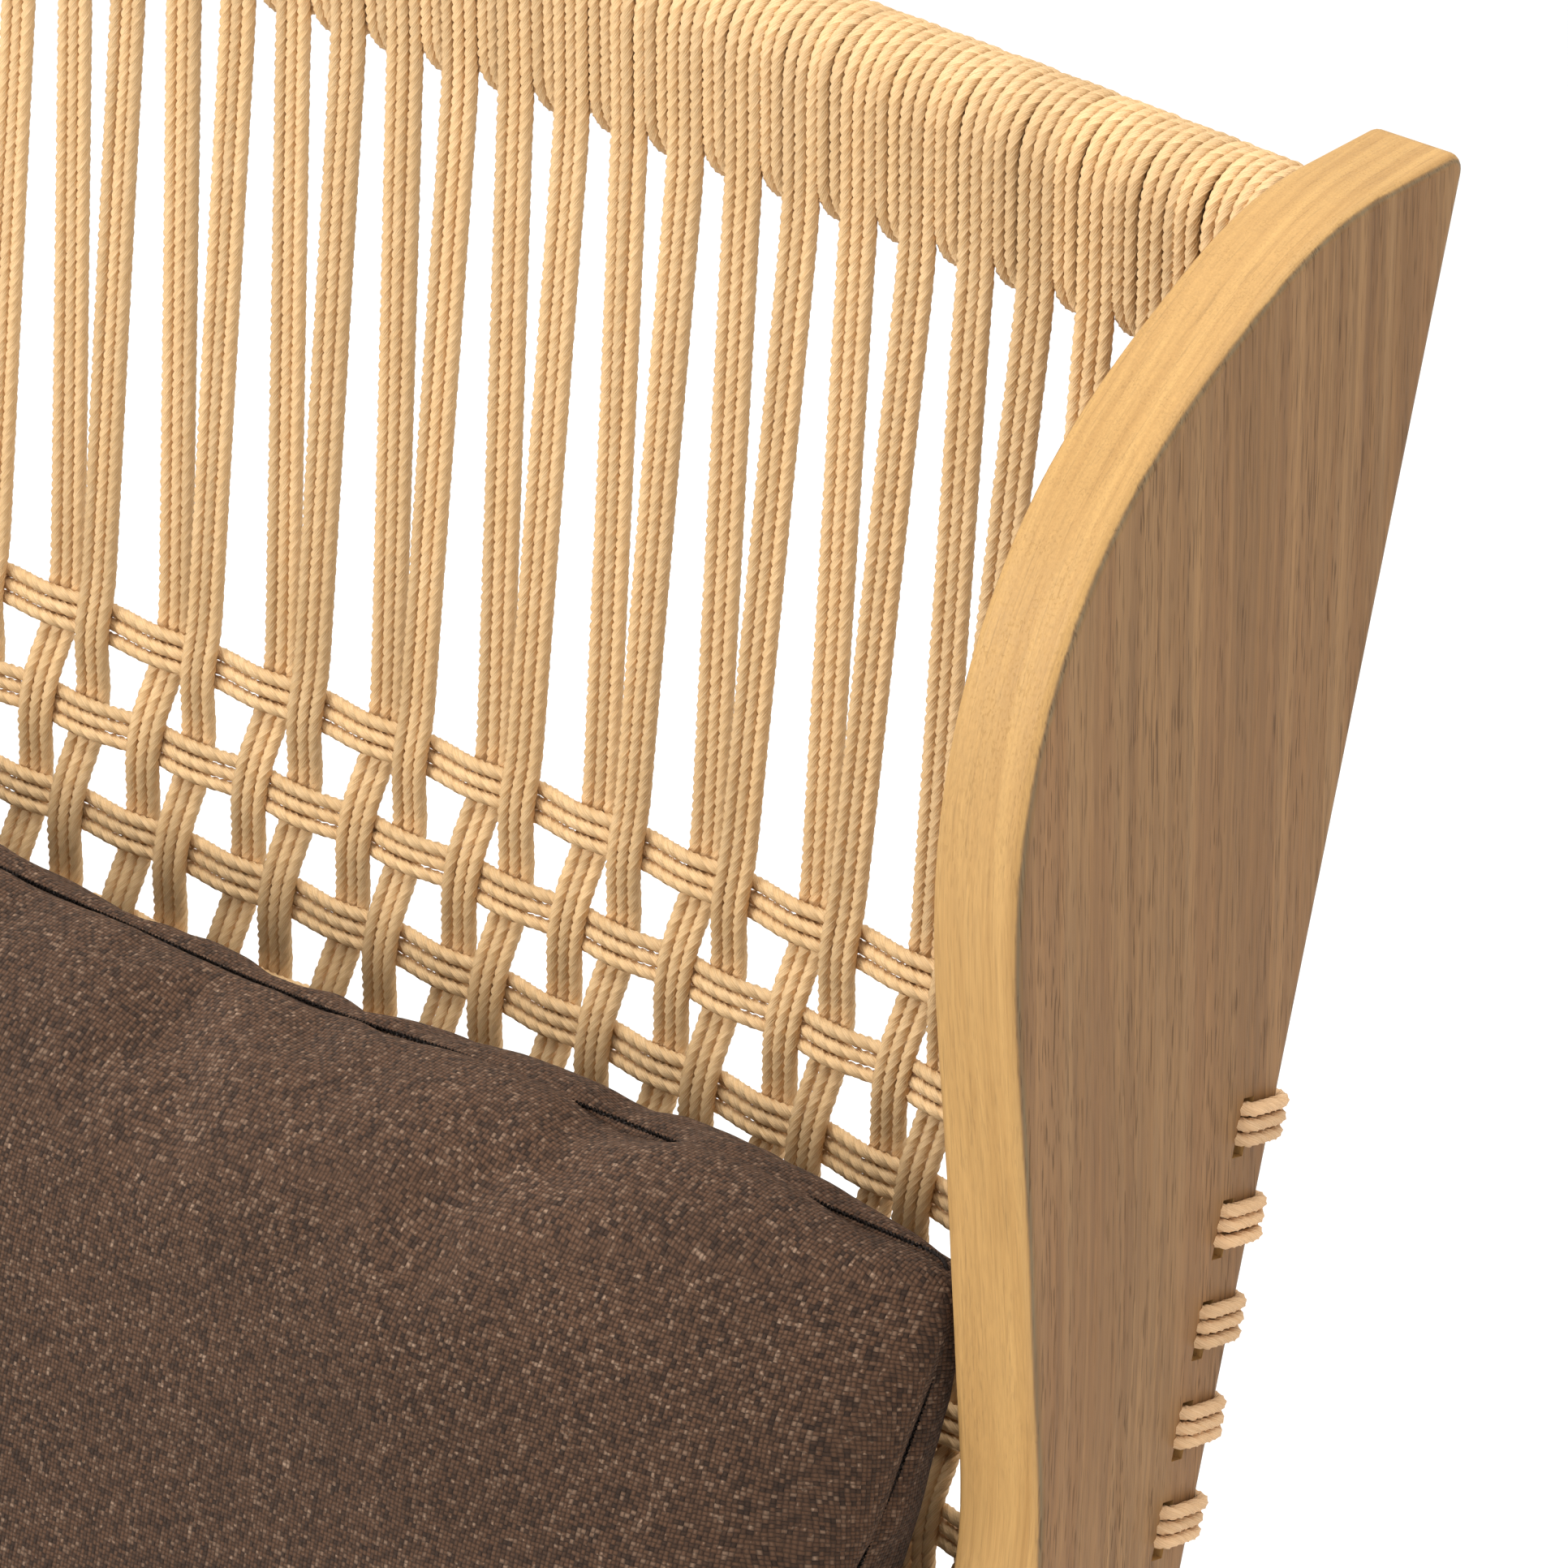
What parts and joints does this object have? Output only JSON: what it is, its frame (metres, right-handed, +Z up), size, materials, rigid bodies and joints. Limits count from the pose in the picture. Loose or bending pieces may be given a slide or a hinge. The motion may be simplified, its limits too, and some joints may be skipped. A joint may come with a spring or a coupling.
{
  "type": "armchair",
  "caption": "High-backed wooden lounge armchair with S-shaped wing posts, a woven cord back and loose seat and back cushions.",
  "frame": {"origin": "middle of the footprint box, on the floor", "axes": "+Z up, -Y the way the sitter faces, +X across the chair to the viewer's right when seen from the front"},
  "size_m": [0.746, 0.7992, 1],
  "materials": {
    "show_wood": "satin",
    "frame_wood": "satin",
    "paper_cord": "matt",
    "cushion_fabric": "matt",
    "steel": "satin",
    "glide_plastic": "matt"
  },
  "bodies": {
    "frame": {"arm_left": "show_wood", "arm_right": "show_wood", "cord_tacks_low": "steel", "cord_tacks_top": "steel", "corner_block_front_left": "frame_wood", "corner_block_front_right": "frame_wood", "corner_block_rear_left": "frame_wood", "corner_block_rear_right": "frame_wood", "corner_block_screws": "steel", "front_leg_left": "show_wood", "front_leg_right": "show_wood", "front_seat_rail": "frame_wood", "glide_front_left": "glide_plastic", "glide_front_right": "glide_plastic", "glide_rear_left": "glide_plastic", "glide_rear_right": "glide_plastic", "joint_dowels_left": "frame_wood", "joint_dowels_right": "frame_wood", "lashing_cords_left": "paper_cord", "lashing_cords_right": "paper_cord", "low_back_rail": "frame_wood", "low_rail_wrap_cords": "paper_cord", "rear_seat_rail": "frame_wood", "seat_slat_1": "frame_wood", "seat_slat_2": "frame_wood", "seat_slat_3": "frame_wood", "seat_slat_4": "frame_wood", "seat_slat_5": "frame_wood", "seat_slat_6": "frame_wood", "seat_slat_7": "frame_wood", "seat_slat_8": "frame_wood", "seat_slat_9": "frame_wood", "side_seat_rail_left": "frame_wood", "side_seat_rail_right": "frame_wood", "slat_screws": "steel", "top_back_rail": "frame_wood", "top_rail_wrap_cords": "paper_cord", "warp_cords": "paper_cord", "weft_cords": "paper_cord", "wing_post_left": "show_wood", "wing_post_right": "show_wood"},
    "seat_cushion": {"seat_cushion": "cushion_fabric"},
    "back_cushion": {"back_cushion": "cushion_fabric"}
  },
  "joints": [
    {"name": "seat_cushion_out", "type": "slide", "parent": "frame", "child": "seat_cushion", "axis": [0, -0.9962, 0.0872], "range_m": [0, 0.62]},
    {"name": "back_cushion_lift", "type": "slide", "parent": "frame", "child": "back_cushion", "axis": [0, 0, 1], "range_m": [0, 0.6]}
  ]
}
